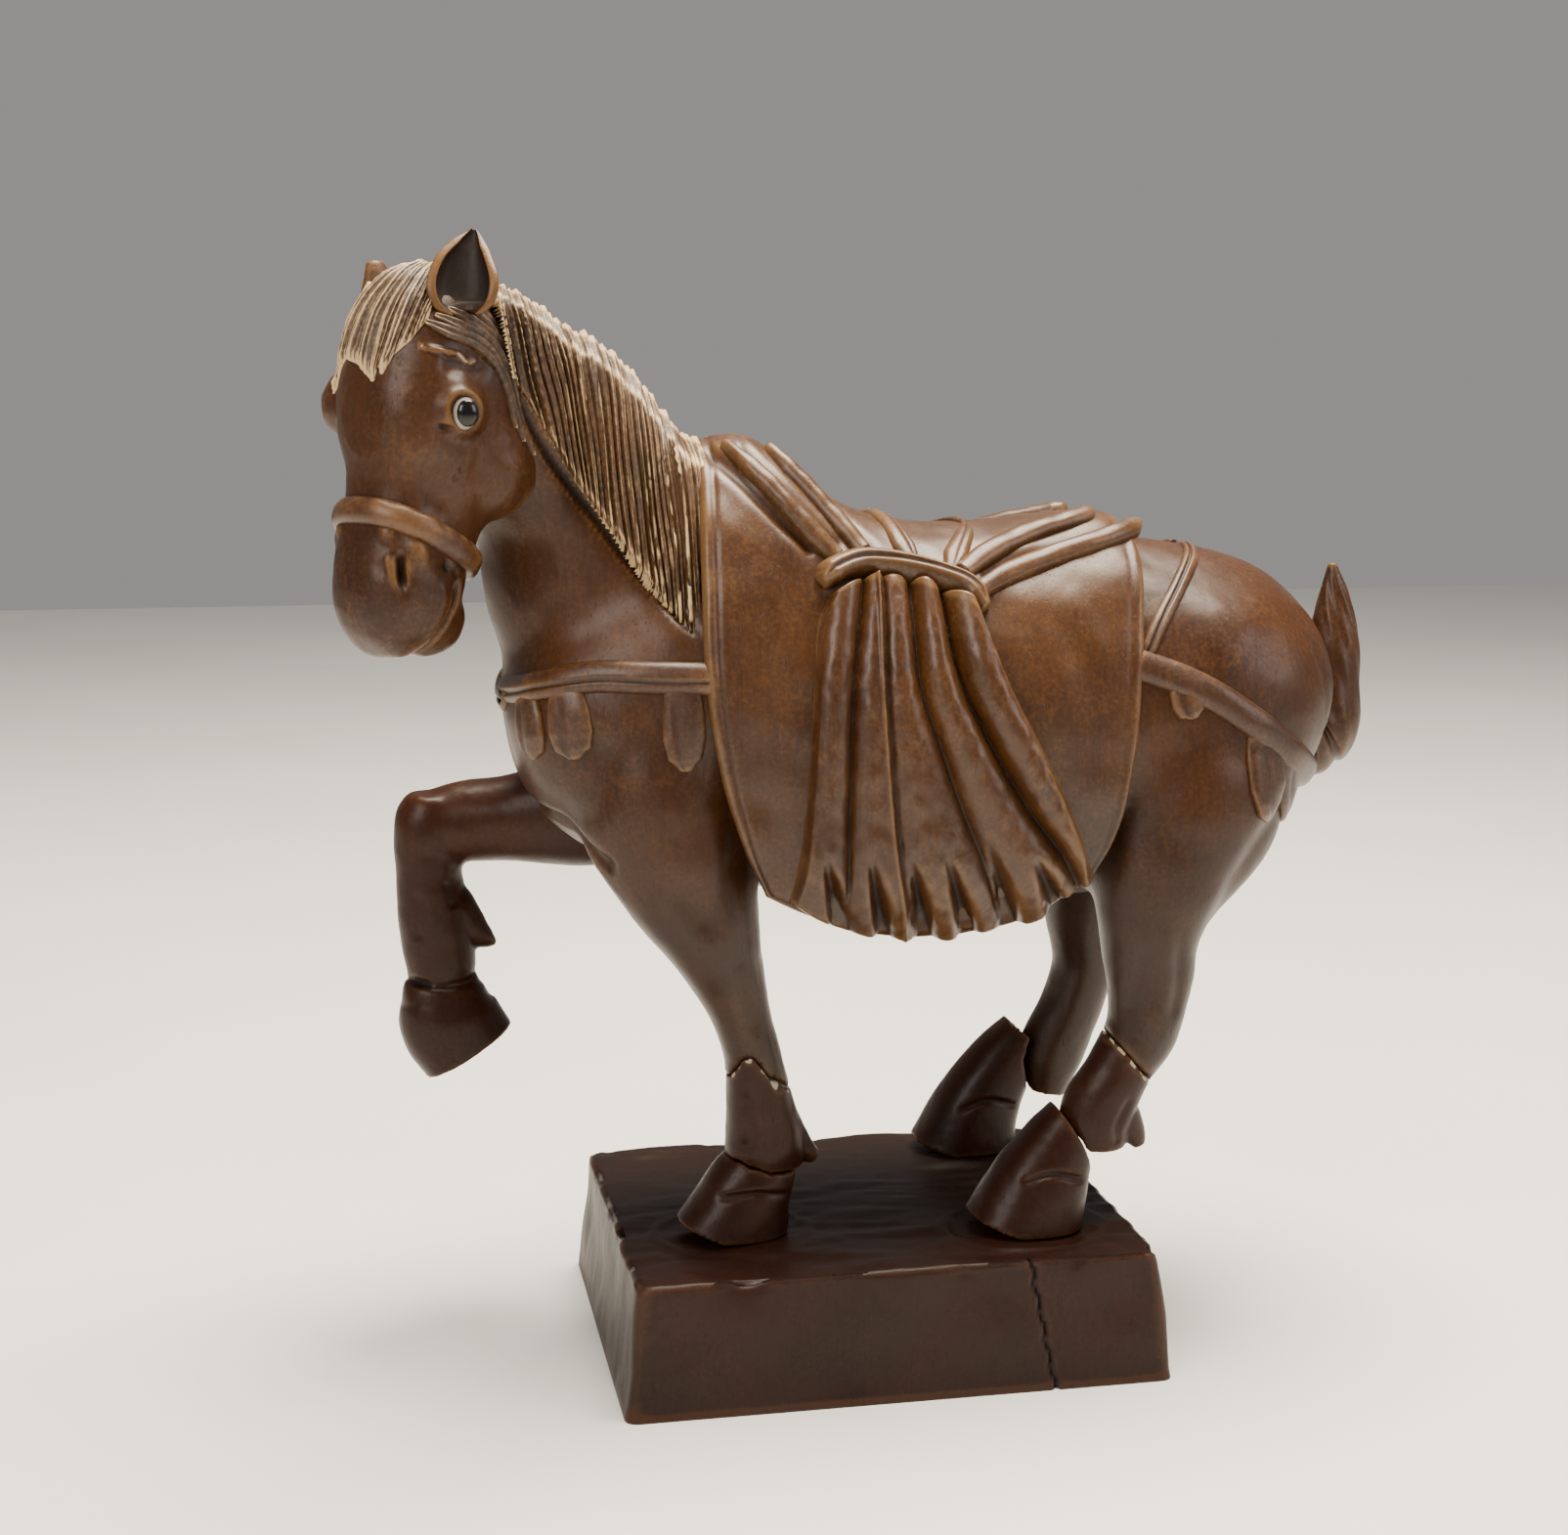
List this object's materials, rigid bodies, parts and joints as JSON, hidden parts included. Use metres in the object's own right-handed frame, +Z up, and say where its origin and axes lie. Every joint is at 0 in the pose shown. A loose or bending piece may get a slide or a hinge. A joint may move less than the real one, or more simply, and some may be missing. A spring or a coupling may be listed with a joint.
{
  "type": "carved wooden horse",
  "caption": "Carved hardwood horse in the Tang manner on a block plinth, off foreleg raised, head turned, with draped saddle cloth and carved harness.",
  "frame": {"origin": "centre of the plinth's flat underside", "axes": "+Z up; -X is the way the horse's body faces; -Y is its near (left) side"},
  "size_m": [0.1857, 0.0764, 0.193],
  "materials": {
    "plinth_wood": "dark stained hardwood, waxed satin",
    "body_wood": "brown stained hardwood, waxed satin",
    "leg_wood": "dark brown stained hardwood, waxed satin",
    "hair_wood": "stained hardwood worn pale on the ridges",
    "strap_wood": "brown stained hardwood, waxed satin",
    "cloth_wood": "brown stained hardwood, waxed satin, burnished edges",
    "eye_white": "glossy white glass",
    "eye_pupil": "glossy black glass"
  },
  "bodies": {
    "root": {"plinth": "plinth_wood", "carved_body": "body_wood", "left_ear": "body_wood", "raised_foreleg": "leg_wood", "near_fore_cannon": "leg_wood", "near_fore_hoof": "leg_wood", "near_hind_cannon": "leg_wood", "near_hind_hoof": "leg_wood", "off_hind_hoof": "leg_wood", "tail": "body_wood", "left_eye_bead": "eye_white", "left_eye_pupil": "eye_pupil", "right_eye_bead": "eye_white", "right_eye_pupil": "eye_pupil", "mane": "hair_wood", "forelock": "hair_wood", "noseband": "strap_wood", "breast_strap": "strap_wood", "crupper_strap": "strap_wood", "hip_strap": "strap_wood", "saddle_cloth": "cloth_wood", "pleated_fall_left": "cloth_wood", "pleated_fall_right": "cloth_wood", "knot_band_left": "cloth_wood", "front_outer_roll_left": "cloth_wood", "front_inner_roll_left": "cloth_wood", "rear_outer_roll_left": "cloth_wood", "rear_inner_roll_left": "cloth_wood", "front_tie_leaf_left": "cloth_wood", "rear_tie_leaf_left": "cloth_wood", "chest_pendant_front_left": "strap_wood", "chest_pendant_rear_left": "strap_wood", "rump_pendant_front_left": "strap_wood", "rump_pendant_rear_left": "strap_wood", "knot_band_right": "cloth_wood", "front_outer_roll_right": "cloth_wood", "front_inner_roll_right": "cloth_wood", "rear_outer_roll_right": "cloth_wood", "rear_inner_roll_right": "cloth_wood", "front_tie_leaf_right": "cloth_wood", "rear_tie_leaf_right": "cloth_wood", "chest_pendant_front_right": "strap_wood", "chest_pendant_rear_right": "strap_wood", "rump_pendant_front_right": "strap_wood", "rump_pendant_rear_right": "strap_wood"}
  },
  "joints": []
}
